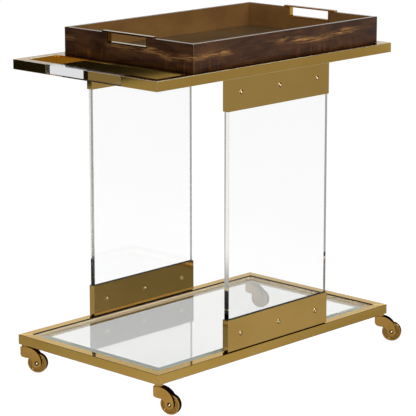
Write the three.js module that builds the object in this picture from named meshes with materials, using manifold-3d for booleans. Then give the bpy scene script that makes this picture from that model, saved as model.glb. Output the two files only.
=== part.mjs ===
// Bar cart on wheels: two brass frames of square tube held apart by two clear acrylic panels,
// a bevelled glass shelf below, a lift-off lacquered tray above and four horn casters.
// Millimetres, +Z up. X runs along the cart from the push handle (-X) to the far end, and Y across it.
// The group's origin is on the floor, under the middle of the whole cart's bounding box.

import * as THREE from "three";
import { mergeVertices } from "three/addons/utils/BufferGeometryUtils.js";
import Module from "manifold-3d";

const wasm = await Module();
wasm.setup();

// ---- Driving dimensions -------------------------------------------------------------------------

const CART_LENGTH = 860;
const CART_WIDTH = 500;
const TUBE = 25; // outer size of the square tube
const TUBE_WALL = 2;
const CASTER_HEIGHT = 72; // floor to the lower frame's underside
const TOP_SURFACE = 800; // floor to the upper frame's top face
const FIT_GAP = 0.3; // between pieces that touch
const MITRE_GAP = 0.2; // each mitred end stands back this far along its tube

const LEDGE_WIDTH = 10; // strip welded inside a frame, to carry the glass or the tray
const LEDGE_THICKNESS = 2.5;
const DROP_IN_CLEARANCE = 1.5; // glass or tray to the tube, each side

const GLASS_THICKNESS = 6;
const GLASS_RECESS = 3.7; // glass top below the lower frame's top face
const GLASS_BEVEL_WIDTH = 25;
const GLASS_BEVEL_DROP = 3;

const CROSS_BAR_X = -309; // handle-side face of the bar that closes the handle opening
const HANDLE_END_REACH = 130; // half the clear length of the acrylic handle bar
const SPIGOT_SIZE = 20.4; // the acrylic bar's reduced ends, inside the brass tubes
const SPIGOT_LENGTH = 25;

const PANEL_HALF_LENGTH = 182;
const PANEL_THICKNESS = 15;
const SLEEVE_HALF_LENGTH = 186;
const SLEEVE_DEPTH = 18;
const SLEEVE_FLOOR = 2;
const SLEEVE_FOOT = 1.5; // a set-back foot keeps each lower sleeve's walls off the frame
const SLEEVE_FOOT_INSET = 2.5;
const LOWER_SLEEVE_HEIGHT = 82;
const UPPER_SLEEVE_HEIGHT = 79;
const PANEL_FIT = 0.2; // acrylic to sleeve, each side

const BOLT_PITCH = 140;
const BOLT_RADIUS = 2.4;
const BOLT_HOLE_RADIUS = 2.7;
const BOLT_HEAD_RADIUS = 4.6;
const BOLT_HEAD_HEIGHT = 2.8;
const BOLT_CUP_RADIUS = 6.2; // the head sits on a thin cup washer, in one piece with it
const BOLT_CUP_HEIGHT = 0.7;
const LOWER_BOLT_RISE = 41; // above the lower frame's top face
const UPPER_BOLT_DROP = 35.5; // below the upper frame's underside

const TRAY_DEPTH_IN_FRAME = 5; // tray bottom below the upper frame's top face
const TRAY_HEIGHT = 73;
const TRAY_WALL = 10;
const TRAY_FLOOR = 12;
const TRAY_MIN_X = -281;
const GRIP_HALF_LENGTH = 88;
const GRIP_THICKNESS = 4;
const GRIP_WIDTH = 12;
const WINDOW_HALF_LENGTH = 66;
const WINDOW_DEPTH = 22; // below the tray's rim
const LINER = 3; // brass round the window
const LINER_WIDTH = 11;

const WHEEL_RADIUS = 25.4;
const WHEEL_THICKNESS = 13;
const CASTER_TRAIL = 32; // swivel axis to axle
const FORK_THICKNESS = 22;
const FORK_SLOT = 15;
const FORK_HEAD_RADIUS = 13.7;
const FORK_TOP = -5.5; // heights on a caster are from the lower frame's underside
const WHEEL_CLEARANCE_RADIUS = 27.6;
const AXLE_RADIUS = 3;
const PIN_RADIUS = 4;
const RUNNING_CLEARANCE = 0.1;

// Each caster: its corner, and the way its wheel trails, in degrees about +Z from +X.
const CASTERS = [
  { place: "front_left", sideX: -1, sideY: -1, trailDeg: -70 },
  { place: "back_left", sideX: -1, sideY: 1, trailDeg: -60 },
  { place: "front_right", sideX: 1, sideY: -1, trailDeg: -57 },
  { place: "back_right", sideX: 1, sideY: 1, trailDeg: -74 },
];

// ---- Worked-out places --------------------------------------------------------------------------

const halfLength = CART_LENGTH / 2;
const halfWidth = CART_WIDTH / 2;
const lowerTop = CASTER_HEIGHT + TUBE;
const upperBottom = TOP_SURFACE - TUBE;
const glassTop = lowerTop - GLASS_RECESS;
const glassBottom = glassTop - GLASS_THICKNESS;
const trayBottom = TOP_SURFACE - TRAY_DEPTH_IN_FRAME;
const trayTop = trayBottom + TRAY_HEIGHT;
const trayHalfWidth = halfWidth - TUBE - DROP_IN_CLEARANCE;
const trayMaxX = halfLength - TUBE - DROP_IN_CLEARANCE;
const trayMidX = (TRAY_MIN_X + trayMaxX) / 2;
const panelY = halfWidth - TUBE / 2;

// ---- Materials ----------------------------------------------------------------------------------

const brass = new THREE.MeshStandardMaterial({ color: 0xb8924a, roughness: 0.22, metalness: 1 });
const casterBrass = new THREE.MeshStandardMaterial({ color: 0xb98a3c, roughness: 0.28, metalness: 1 });
const acrylic = new THREE.MeshStandardMaterial({
  color: 0xf4f6f6,
  roughness: 0.03,
  metalness: 0,
  transparent: true,
  opacity: 0.25,
});
const glass = new THREE.MeshStandardMaterial({
  color: 0xe3ece7,
  roughness: 0.02,
  metalness: 0,
  transparent: true,
  opacity: 0.3,
});
const lacquer = new THREE.MeshStandardMaterial({ color: 0x3a2415, roughness: 0.12, metalness: 0 });
const trayLining = new THREE.MeshStandardMaterial({ color: 0x6b4a22, roughness: 0.3, metalness: 0.4 });

// ---- Geometry helpers ---------------------------------------------------------------------------

// A closed three.js geometry as a manifold solid.
function solid(geometry) {
  const bare = geometry.clone();
  bare.deleteAttribute("normal");
  bare.deleteAttribute("uv");
  const merged = mergeVertices(bare, 1e-4);
  return new wasm.Manifold(
    new wasm.Mesh({
      numProp: 3,
      vertProperties: new Float32Array(merged.attributes.position.array),
      triVerts: new Uint32Array(merged.index.array),
    }),
  );
}

// A manifold solid as a named mesh with flat-shaded faces.
function part(name, shape, material) {
  const mesh = shape.getMesh();
  const indexed = new THREE.BufferGeometry();
  indexed.setAttribute("position", new THREE.BufferAttribute(mesh.vertProperties, mesh.numProp));
  indexed.setIndex(new THREE.BufferAttribute(mesh.triVerts, 1));
  const geometry = indexed.toNonIndexed();
  geometry.computeVertexNormals();
  const named = new THREE.Mesh(geometry, material);
  named.name = name;
  return named;
}

function block(x0, x1, y0, y1, z0, z1) {
  const geometry = new THREE.BoxGeometry(x1 - x0, y1 - y0, z1 - z0);
  geometry.translate((x0 + x1) / 2, (y0 + y1) / 2, (z0 + z1) / 2);
  return solid(geometry);
}

// A plan outline, as [x, y] points, raised from z0 to z1.
function raised(outline, z0, z1) {
  const shape = new THREE.Shape(outline.map(([x, y]) => new THREE.Vector2(x, y)));
  const geometry = new THREE.ExtrudeGeometry(shape, { depth: z1 - z0, bevelEnabled: false });
  geometry.translate(0, 0, z0);
  return solid(geometry);
}

// A cylinder along X, Y or Z, from one end to the other, centred on the two other coordinates.
function rod(axis, radius, from, to, centre, sides) {
  const geometry = new THREE.CylinderGeometry(radius, radius, to - from, sides);
  const middle = (from + to) / 2;
  if (axis === "x") {
    geometry.rotateZ(-Math.PI / 2);
    geometry.translate(middle, centre[0], centre[1]);
  } else if (axis === "y") {
    geometry.translate(centre[0], middle, centre[1]);
  } else {
    geometry.rotateX(Math.PI / 2);
    geometry.translate(centre[0], centre[1], middle);
  }
  return solid(geometry);
}

// A profile of [radius, height] points turned about Z.
function turned(profile, sides) {
  const points = profile.map(([r, z]) => new THREE.Vector2(r, z));
  const geometry = new THREE.LatheGeometry(points, sides);
  geometry.rotateX(Math.PI / 2);
  return solid(geometry);
}

// ---- Frames of mitred square tube ---------------------------------------------------------------

// One side of a rectangular frame, in plan, between two insets from its outer edge, mitred at both
// ends. The side lies along -Y; extra lengthens it past the mitre planes.
function mitredStrip(half, across, inset0, inset1, z0, z1, extra) {
  const outline = [
    [-half + inset0 - extra, -across + inset0],
    [half - inset0 + extra, -across + inset0],
    [half - inset1 + extra, -across + inset1],
    [-half + inset1 - extra, -across + inset1],
  ];
  return raised(outline, z0, z1);
}

// A tube along one side of a frame, with its ledge if it has one.
function mitredTube(half, across, z0, ledgeTop) {
  const outer = mitredStrip(half, across, 0, TUBE, z0, z0 + TUBE, -MITRE_GAP);
  const bore = mitredStrip(
    half,
    across,
    TUBE_WALL,
    TUBE - TUBE_WALL,
    z0 + TUBE_WALL,
    z0 + TUBE - TUBE_WALL,
    TUBE,
  );
  const tube = outer.subtract(bore);
  if (ledgeTop === null) return tube;
  const reach = TUBE + LEDGE_WIDTH;
  const root = TUBE - TUBE_WALL / 2;
  const ledge = mitredStrip(half, across, root, reach, ledgeTop - LEDGE_THICKNESS, ledgeTop, -MITRE_GAP);
  return tube.add(ledge);
}

// The stem hole through the lower wall of both tubes that meet at a corner.
function stemHoles(tube) {
  let drilled = tube;
  for (const { sideX, sideY } of CASTERS) {
    const centre = [sideX * (halfLength - TUBE / 2), sideY * (halfWidth - TUBE / 2)];
    const low = CASTER_HEIGHT - 1;
    drilled = drilled.subtract(rod("z", PIN_RADIUS + 1, low, CASTER_HEIGHT + TUBE_WALL + 1, centre, 20));
  }
  return drilled;
}

function turnAboutZ(shape, degrees) {
  return shape.rotate([0, 0, degrees]);
}

function lowerFrame() {
  const ledgeTop = glassBottom - FIT_GAP;
  const long = mitredTube(halfLength, halfWidth, CASTER_HEIGHT, ledgeTop);
  const short = mitredTube(halfWidth, halfLength, CASTER_HEIGHT, ledgeTop);
  return [
    part("lower_rail_front", stemHoles(long), brass),
    part("lower_rail_back", stemHoles(turnAboutZ(long, 180)), brass),
    part("lower_rail_left", stemHoles(turnAboutZ(short, -90)), brass),
    part("lower_rail_right", stemHoles(turnAboutZ(short, 90)), brass),
  ];
}

function upperFrame() {
  const ledgeTop = trayBottom - FIT_GAP;
  const innerY = halfWidth - TUBE;
  const crossInner = CROSS_BAR_X + TUBE;
  const bare = mitredTube(halfLength, halfWidth, upperBottom, null);
  const trayLedge = mitredStrip(
    halfLength,
    halfWidth,
    TUBE - TUBE_WALL / 2,
    TUBE + LEDGE_WIDTH,
    ledgeTop - LEDGE_THICKNESS,
    ledgeTop,
    -MITRE_GAP,
  );
  // The ledge starts at the cross bar, so the handle opening stays clear.
  const handleSide = block(-halfLength, crossInner + FIT_GAP, -halfWidth, 0, upperBottom, TOP_SURFACE);
  const front = bare.add(trayLedge.subtract(handleSide));
  const frontMirrored = front.mirror([0, 1, 0]);
  const right = turnAboutZ(mitredTube(halfWidth, halfLength, upperBottom, ledgeTop), 90);

  const crossOuter = block(
    CROSS_BAR_X,
    crossInner,
    -innerY + FIT_GAP,
    innerY - FIT_GAP,
    upperBottom,
    TOP_SURFACE,
  );
  const crossBore = block(
    CROSS_BAR_X + TUBE_WALL,
    crossInner - TUBE_WALL,
    -innerY,
    innerY,
    upperBottom + TUBE_WALL,
    TOP_SURFACE - TUBE_WALL,
  );
  const crossLedgeReach = innerY - LEDGE_WIDTH - FIT_GAP;
  const crossLedge = block(
    crossInner - TUBE_WALL / 2,
    crossInner + LEDGE_WIDTH,
    -crossLedgeReach,
    crossLedgeReach,
    ledgeTop - LEDGE_THICKNESS,
    ledgeTop,
  );
  return [
    part("upper_rail_front", front, brass),
    part("upper_rail_back", frontMirrored, brass),
    part("upper_rail_right", right, brass),
    part("cross_bar", crossOuter.subtract(crossBore).add(crossLedge), brass),
  ];
}

// The push handle: a brass tube stub at each corner and a clear bar spigoted into both.
function pushHandle() {
  const end = turnAboutZ(mitredTube(halfWidth, halfLength, upperBottom, null), -90);
  const beyond = block(
    -halfLength - 1,
    0,
    -HANDLE_END_REACH,
    halfWidth + 1,
    upperBottom - 1,
    TOP_SURFACE + 1,
  );
  const frontEnd = end.subtract(beyond);
  const backEnd = frontEnd.mirror([0, 1, 0]);

  const clear = HANDLE_END_REACH - FIT_GAP;
  const body = block(-halfLength, -halfLength + TUBE, -clear, clear, upperBottom, TOP_SURFACE);
  const middleX = -halfLength + TUBE / 2;
  const middleZ = upperBottom + TUBE / 2;
  const half = SPIGOT_SIZE / 2;
  const reach = clear + SPIGOT_LENGTH;
  const spigots = block(middleX - half, middleX + half, -reach, reach, middleZ - half, middleZ + half);
  return [
    part("handle_end_front", frontEnd, brass),
    part("handle_end_back", backEnd, brass),
    part("handle_bar", body.add(spigots), acrylic),
  ];
}

// ---- Glass shelf: a plate whose upper edge is bevelled all round ---------------------------------

function glassShelf() {
  const halfX = halfLength - TUBE - DROP_IN_CLEARANCE;
  const halfY = halfWidth - TUBE - DROP_IN_CLEARANCE;
  const edgeTop = glassTop - GLASS_BEVEL_DROP;
  const section = (half) => [
    [-half, glassBottom],
    [half, glassBottom],
    [half, edgeTop],
    [half - GLASS_BEVEL_WIDTH, glassTop],
    [-half + GLASS_BEVEL_WIDTH, glassTop],
    [-half, edgeTop],
  ];
  // Each section runs the plate's whole length one way; what they share is the bevelled plate.
  const across = raised(section(halfX), -halfY, halfY).rotate([90, 0, 0]);
  const along = raised(section(halfY), -halfX, halfX).rotate([90, 0, 90]);
  return part("glass_shelf", across.intersect(along), glass);
}

// ---- Acrylic panels in brass sleeves -------------------------------------------------------------

function boltHoles(shape, y, z) {
  let drilled = shape;
  for (const step of [-1, 0, 1]) {
    const hole = rod("y", BOLT_HOLE_RADIUS, y - SLEEVE_DEPTH, y + SLEEVE_DEPTH, [step * BOLT_PITCH, z], 16);
    drilled = drilled.subtract(hole);
  }
  return drilled;
}

// A dome-headed barrel bolt right through one sleeve, along Y.
function throughBolt(name, x, y, z) {
  const face = SLEEVE_DEPTH / 2 + 0.1;
  const dome = (side) => [
    [BOLT_CUP_RADIUS, side * face],
    [BOLT_CUP_RADIUS - 0.4, side * (face + BOLT_CUP_HEIGHT)],
    [BOLT_HEAD_RADIUS, side * (face + BOLT_CUP_HEIGHT)],
    [BOLT_HEAD_RADIUS * 0.82, side * (face + BOLT_HEAD_HEIGHT * 0.62)],
    [BOLT_HEAD_RADIUS * 0.45, side * (face + BOLT_HEAD_HEIGHT * 0.94)],
    [0, side * (face + BOLT_HEAD_HEIGHT)],
  ];
  const profile = [
    ...dome(-1).reverse(),
    [BOLT_RADIUS, -face],
    [BOLT_RADIUS, face],
    ...dome(1),
  ];
  const bolt = turned(profile, 16).rotate([90, 0, 0]).translate([x, y, z]);
  return part(name, bolt, brass);
}

function sidePanel(side, y) {
  const lowerZ = lowerTop + LOWER_BOLT_RISE;
  const upperZ = upperBottom - UPPER_BOLT_DROP;
  const pocketHalfX = PANEL_HALF_LENGTH + PANEL_FIT;
  const pocketHalfY = PANEL_THICKNESS / 2 + PANEL_FIT;
  const halfDepth = SLEEVE_DEPTH / 2;

  const sleeve = (z0, z1, pocket0, pocket1) =>
    block(-SLEEVE_HALF_LENGTH, SLEEVE_HALF_LENGTH, y - halfDepth, y + halfDepth, z0, z1).subtract(
      block(-pocketHalfX, pocketHalfX, y - pocketHalfY, y + pocketHalfY, pocket0, pocket1),
    );
  const footBase = lowerTop + FIT_GAP;
  const lowerBase = lowerTop + SLEEVE_FOOT;
  const lowerEnd = lowerTop + LOWER_SLEEVE_HEIGHT;
  const upperBase = upperBottom - FIT_GAP;
  const upperEnd = upperBottom - UPPER_SLEEVE_HEIGHT;
  const footHalfX = SLEEVE_HALF_LENGTH - SLEEVE_FOOT_INSET;
  const footHalfY = halfDepth - SLEEVE_FOOT_INSET;
  const foot = block(-footHalfX, footHalfX, y - footHalfY, y + footHalfY, footBase, lowerBase + 1);
  const lower = sleeve(lowerBase, lowerEnd, lowerBase + SLEEVE_FLOOR, lowerEnd + 1).add(foot);
  const upper = sleeve(upperEnd, upperBase, upperEnd - 1, upperBase - SLEEVE_FLOOR);

  const panel = block(
    -PANEL_HALF_LENGTH,
    PANEL_HALF_LENGTH,
    y - PANEL_THICKNESS / 2,
    y + PANEL_THICKNESS / 2,
    lowerBase + SLEEVE_FLOOR + FIT_GAP,
    upperBase - SLEEVE_FLOOR - FIT_GAP,
  );
  const parts = [
    part(`panel_${side}`, boltHoles(boltHoles(panel, y, lowerZ), y, upperZ), acrylic),
    part(`sleeve_lower_${side}`, boltHoles(lower, y, lowerZ), brass),
    part(`sleeve_upper_${side}`, boltHoles(upper, y, upperZ), brass),
  ];
  for (const [level, z] of [["lower", lowerZ], ["upper", upperZ]]) {
    for (const step of [-1, 0, 1]) {
      parts.push(throughBolt(`bolt_${level}_${side}_${step + 2}`, step * BOLT_PITCH, y, z));
    }
  }
  return parts;
}

// ---- Tray ----------------------------------------------------------------------------------------

// The grip: a flat bar along the rim over a liner that frames the hand window on three sides.
function trayGrip(name, wallMidX) {
  const outerHalf = WINDOW_HALF_LENGTH + LINER;
  const linerX0 = wallMidX - LINER_WIDTH / 2;
  const linerX1 = wallMidX + LINER_WIDTH / 2;
  const barTop = trayTop + FIT_GAP + GRIP_THICKNESS;
  const bar = block(
    wallMidX - GRIP_WIDTH / 2,
    wallMidX + GRIP_WIDTH / 2,
    -GRIP_HALF_LENGTH,
    GRIP_HALF_LENGTH,
    trayTop + FIT_GAP,
    barTop,
  );
  const windowBottom = trayTop - WINDOW_DEPTH;
  const liner = block(linerX0, linerX1, -outerHalf, outerHalf, windowBottom - LINER, trayTop + 1);
  const opening = block(
    linerX0 - 1,
    linerX1 + 1,
    -WINDOW_HALF_LENGTH,
    WINDOW_HALF_LENGTH,
    windowBottom,
    trayTop + FIT_GAP,
  );
  return part(name, bar.add(liner).subtract(opening), brass);
}

function tray() {
  const halfX = (trayMaxX - TRAY_MIN_X) / 2;
  const long = mitredStrip(halfX, trayHalfWidth, 0, TRAY_WALL, trayBottom, trayTop, -MITRE_GAP);
  const short = mitredStrip(trayHalfWidth, halfX, 0, TRAY_WALL, trayBottom, trayTop, -MITRE_GAP);
  const notchHalf = WINDOW_HALF_LENGTH + LINER + FIT_GAP;
  const notch = block(
    -halfX - 1,
    halfX + 1,
    -notchHalf,
    notchHalf,
    trayTop - WINDOW_DEPTH - LINER - FIT_GAP,
    trayTop + 1,
  );
  const move = [trayMidX, 0, 0];
  const inside = TRAY_WALL + FIT_GAP;
  const base = block(
    TRAY_MIN_X + inside,
    trayMaxX - inside,
    -trayHalfWidth + inside,
    trayHalfWidth - inside,
    trayBottom,
    trayBottom + TRAY_FLOOR,
  );
  return [
    part("tray_base", base, trayLining),
    part("tray_wall_front", long.translate(move), lacquer),
    part("tray_wall_back", turnAboutZ(long, 180).translate(move), lacquer),
    part("tray_wall_left", turnAboutZ(short, -90).subtract(notch).translate(move), lacquer),
    part("tray_wall_right", turnAboutZ(short, 90).subtract(notch).translate(move), lacquer),
    trayGrip("tray_grip_left", TRAY_MIN_X + TRAY_WALL / 2),
    trayGrip("tray_grip_right", trayMaxX - TRAY_WALL / 2),
  ];
}

// ---- Casters -------------------------------------------------------------------------------------

const axleZ = WHEEL_RADIUS - CASTER_HEIGHT;

// The horn's side outline, with x towards the wheel and y up from the lower frame's underside.
function hornOutline() {
  const noseRadius = 11.5;
  const back = -FORK_HEAD_RADIUS;
  const outline = new THREE.Shape();
  outline.moveTo(back + 5, FORK_TOP);
  outline.lineTo(4, FORK_TOP);
  outline.bezierCurveTo(24, FORK_TOP, CASTER_TRAIL + noseRadius, -22, CASTER_TRAIL + noseRadius, axleZ);
  outline.absarc(CASTER_TRAIL, axleZ, noseRadius, 0, -Math.PI, true);
  outline.bezierCurveTo(CASTER_TRAIL - noseRadius, -39, 14, -34, 6, -33.5);
  outline.bezierCurveTo(-6, -33, back, -29, back, -20);
  outline.lineTo(back, FORK_TOP - 5);
  outline.quadraticCurveTo(back, FORK_TOP, back + 5, FORK_TOP);
  return outline;
}

// The fork in its own frame: swivel axis on Z, wheel trailing along +X, axle along Y.
function fork() {
  const options = { depth: FORK_THICKNESS, bevelEnabled: false, curveSegments: 10 };
  const horn = solid(new THREE.ExtrudeGeometry(hornOutline(), options))
    .rotate([90, 0, 0])
    .translate([0, FORK_THICKNESS / 2, 0]);

  // In plan the head is round about the swivel axis.
  const plan = new THREE.Shape();
  const reach = CASTER_TRAIL + 2 * FORK_HEAD_RADIUS;
  plan.moveTo(reach, -FORK_HEAD_RADIUS);
  plan.lineTo(reach, FORK_HEAD_RADIUS);
  plan.lineTo(0, FORK_HEAD_RADIUS);
  plan.absarc(0, 0, FORK_HEAD_RADIUS, Math.PI / 2, 1.5 * Math.PI, false);
  const planOptions = { depth: CASTER_HEIGHT, bevelEnabled: false, curveSegments: 10 };
  const roundHead = solid(new THREE.ExtrudeGeometry(plan, planOptions)).translate([0, 0, -CASTER_HEIGHT]);

  const slot = rod("y", WHEEL_CLEARANCE_RADIUS, -FORK_SLOT / 2, FORK_SLOT / 2, [CASTER_TRAIL, axleZ], 40);
  const axleHole = rod(
    "y",
    AXLE_RADIUS + RUNNING_CLEARANCE,
    -FORK_THICKNESS,
    FORK_THICKNESS,
    [CASTER_TRAIL, axleZ],
    24,
  );
  const pinBore = rod("z", PIN_RADIUS + RUNNING_CLEARANCE, -24, 0, [0, 0], 24);
  return horn.intersect(roundHead).subtract(slot).subtract(axleHole).subtract(pinBore);
}

// A solid wheel with a raised hub and rim on each side, turned about Y.
function wheel() {
  const half = WHEEL_THICKNESS / 2;
  const web = half - 1.2;
  const bore = AXLE_RADIUS + RUNNING_CLEARANCE;
  const oneSide = [
    [bore, half],
    [9, half],
    [10, web],
    [19.5, web],
    [20.5, half],
    [WHEEL_RADIUS - 1.2, half],
    [WHEEL_RADIUS, half - 1.2],
  ];
  const otherSide = oneSide.map(([r, y]) => [r, -y]);
  const profile = [...otherSide, ...oneSide.reverse(), otherSide[0]];
  return turned(profile, 40).rotate([90, 0, 0]).translate([CASTER_TRAIL, 0, axleZ]);
}

// The axle, with a low dome on each end outside the fork.
function axle() {
  const face = FORK_THICKNESS / 2 + 0.1;
  const profile = [
    [0, -face - 2.6],
    [2.4, -face - 2.1],
    [4, -face],
    [AXLE_RADIUS, -face],
    [AXLE_RADIUS, face],
    [4, face],
    [2.4, face + 2.1],
    [0, face + 2.6],
  ];
  return turned(profile, 24).rotate([90, 0, 0]).translate([CASTER_TRAIL, 0, axleZ]);
}

// The fixed stem: a block inside the tube corner, a neck, a bearing collar and the swivel pin.
function stem() {
  const size = 10; // half the block, loose in the tube's bore
  const blockBase = TUBE_WALL + 0.5;
  const insert = block(-size, size, -size, size, blockBase, blockBase + 15);
  const profile = [
    [0, -22],
    [PIN_RADIUS, -22],
    [PIN_RADIUS, FORK_TOP + FIT_GAP],
    [10, FORK_TOP + FIT_GAP],
    [10, -FIT_GAP],
    [PIN_RADIUS, -FIT_GAP],
    [PIN_RADIUS, blockBase + 5],
    [0, blockBase + 5],
  ];
  return turned(profile, 24).add(insert);
}

function caster({ place, sideX, sideY, trailDeg }) {
  const swivelling = new THREE.Group();
  swivelling.rotation.z = THREE.MathUtils.degToRad(trailDeg);
  swivelling.add(
    part(`fork_${place}`, fork(), casterBrass),
    part(`wheel_${place}`, wheel(), casterBrass),
    part(`axle_${place}`, axle(), casterBrass),
  );
  const whole = new THREE.Group();
  whole.position.set(sideX * (halfLength - TUBE / 2), sideY * (halfWidth - TUBE / 2), CASTER_HEIGHT);
  whole.add(part(`stem_${place}`, stem(), casterBrass), swivelling);
  return whole;
}

// ---- The cart ------------------------------------------------------------------------------------

const cart = new THREE.Group();
cart.add(...lowerFrame(), glassShelf(), ...upperFrame(), ...pushHandle());
cart.add(...sidePanel("front", -panelY), ...sidePanel("back", panelY));
cart.add(...tray());
for (const corner of CASTERS) cart.add(caster(corner));

// The wheels trail past the frame, so the cart moves to put the whole box's middle on the origin.
const bounds = new THREE.Box3().setFromObject(cart, true);
const middle = bounds.getCenter(new THREE.Vector3());
cart.position.set(-middle.x, -middle.y, -bounds.min.z);

export default cart;
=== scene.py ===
import math

import bmesh
import bpy
from mathutils import Matrix, Vector


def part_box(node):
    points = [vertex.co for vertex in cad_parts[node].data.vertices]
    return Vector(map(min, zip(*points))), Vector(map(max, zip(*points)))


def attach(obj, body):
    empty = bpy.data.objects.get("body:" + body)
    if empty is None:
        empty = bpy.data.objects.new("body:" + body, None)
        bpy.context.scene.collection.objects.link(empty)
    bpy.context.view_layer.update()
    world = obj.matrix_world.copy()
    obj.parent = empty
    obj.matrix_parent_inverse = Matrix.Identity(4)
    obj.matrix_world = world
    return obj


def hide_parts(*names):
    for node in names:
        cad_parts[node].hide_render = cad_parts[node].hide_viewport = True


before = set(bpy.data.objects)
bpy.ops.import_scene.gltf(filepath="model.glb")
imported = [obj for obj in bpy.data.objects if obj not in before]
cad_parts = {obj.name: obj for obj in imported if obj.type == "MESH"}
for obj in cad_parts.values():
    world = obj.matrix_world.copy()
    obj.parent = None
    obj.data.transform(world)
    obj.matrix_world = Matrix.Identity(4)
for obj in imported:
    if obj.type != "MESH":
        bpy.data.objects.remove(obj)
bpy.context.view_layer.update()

# ---- Sizes, in millimetres, in the cart's own coordinates: origin on the floor under the frames' middle,
# X along the cart from the push handle, Y across it, Z up.

FIT_GAP = 0.3  # between parts that rest on or beside each other
HALF_X = 430.0  # frames: half their length and width
HALF_Y = 250.0
TUBE = 25.0
LOWER_Z = 72.0  # undersides of the two frames
UPPER_Z = 775.0
LEDGE = 10.0
LEDGE_THICKNESS = 2.5
MITRE_GAP = 0.06
CROSS_X = -309.0
HANDLE_REACH = 130.0  # half the opening between the two handle ends
HANDLE_GAP = 0.1
PANEL_Y = 237.5
PANEL_HALF_LENGTH = 182.0
PANEL_HALF_THICKNESS = 7.5
PANEL_Z0, PANEL_Z1 = 100.7, 772.6
SLEEVE_HALF_LENGTH = 186.0
SLEEVE_HALF_DEPTH = 9.0
SLEEVE_WALL = 1.3
SLEEVE_END_WALL = 3.8
SLEEVE_FLOOR = 2.0
SLEEVE_FOOT = 1.5  # a set-back foot keeps each lower sleeve's walls off the frame
SLEEVE_FOOT_INSET = 2.5
LOWER_SLEEVE_TOP = 179.0
UPPER_SLEEVE_BOTTOM = 696.0
SLEEVE_GAP = 0.15
GLASS_TOP = 93.3
GLASS_BOTTOM = 87.3
GLASS_GAP = 1.5
BEVEL_WIDTH = 25.0
BEVEL_DROP = 3.0
# The lower frame's inner faces carry a line of painted shade along their top.
PAINTED_SHADE_LIP = 3.6  # height of the dark line at the top of the lower frame's inner faces
TRAY_X0, TRAY_X1 = -281.0, 403.5
TRAY_Y = 223.5
TRAY_Z0, TRAY_Z1 = 795.0, 868.0
TRAY_WALL = 10.0
TRAY_FLOOR_TOP = 807.0
WINDOW_HALF = 66.0  # the hand windows
WINDOW_Z = 846.0
LINER = 3.0
GRIP_HALF_LENGTH = 88.0
GRIP_HALF_WIDTH = 6.0
GRIP_THICKNESS = 4.0
TRAIL = 32.0  # from the swivel's axis to the axle
WHEEL_R = 25.4
AXLE_Z = WHEEL_R - LOWER_Z
FORK_HALF_WIDTH = 13.7
CHEEK_HALF_WIDTH = 11.0
SLOT_HALF_WIDTH = 7.5
SLOT_RADIUS = 27.6
PIN_RADIUS = 3.9
PIN_DEPTH = 22.0
BORE_RADIUS = 4.3
# Each caster's corner, as the signs of x and y, and its swivel angle at rest.
CASTERS = {
    "front_left": (-1, -1, -70.0),
    "back_left": (-1, 1, -60.0),
    "front_right": (1, -1, -57.0),
    "back_right": (1, 1, -74.0),
}
BOLT_X = (-140.0, 0.0, 140.0)
LOWER_BOLT_Z = 138.0
UPPER_BOLT_Z = 739.5


def frame_middle():
    """The cart's own origin in the row frame: the middle of the lower frame, on the floor."""
    x0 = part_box("lower_rail_left")[0].x
    x1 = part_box("lower_rail_right")[1].x
    y0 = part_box("lower_rail_front")[0].y
    y1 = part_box("lower_rail_back")[1].y
    return Vector(((x0 + x1) / 2, (y0 + y1) / 2, 0))


ORIGIN = frame_middle()
TO_ROW = Matrix.Translation(ORIGIN) @ Matrix.Scale(0.001, 4)

# ---- Node helpers, for the materials and for the studio


def feed(tree, socket, value):
    """Puts a number on a socket, or links another node's output to it."""
    if isinstance(value, (int, float)):
        socket.default_value = value
    else:
        tree.links.new(value, socket)


def calculate(tree, operation, a, b):
    node = tree.nodes.new("ShaderNodeMath")
    node.operation = operation
    feed(tree, node.inputs[0], a)
    feed(tree, node.inputs[1], b)
    return node.outputs["Value"]


def map_range(tree, value, low, high, to_low, to_high, interpolation="LINEAR"):
    node = tree.nodes.new("ShaderNodeMapRange")
    node.interpolation_type = interpolation
    for key, number in zip(("From Min", "From Max", "To Min", "To Max"), (low, high, to_low, to_high)):
        node.inputs[key].default_value = number
    tree.links.new(value, node.inputs["Value"])
    return node.outputs["Result"]


def split_xyz(tree, vector):
    node = tree.nodes.new("ShaderNodeSeparateXYZ")
    tree.links.new(vector, node.inputs["Vector"])
    return node.outputs


# ---- Materials


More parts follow.
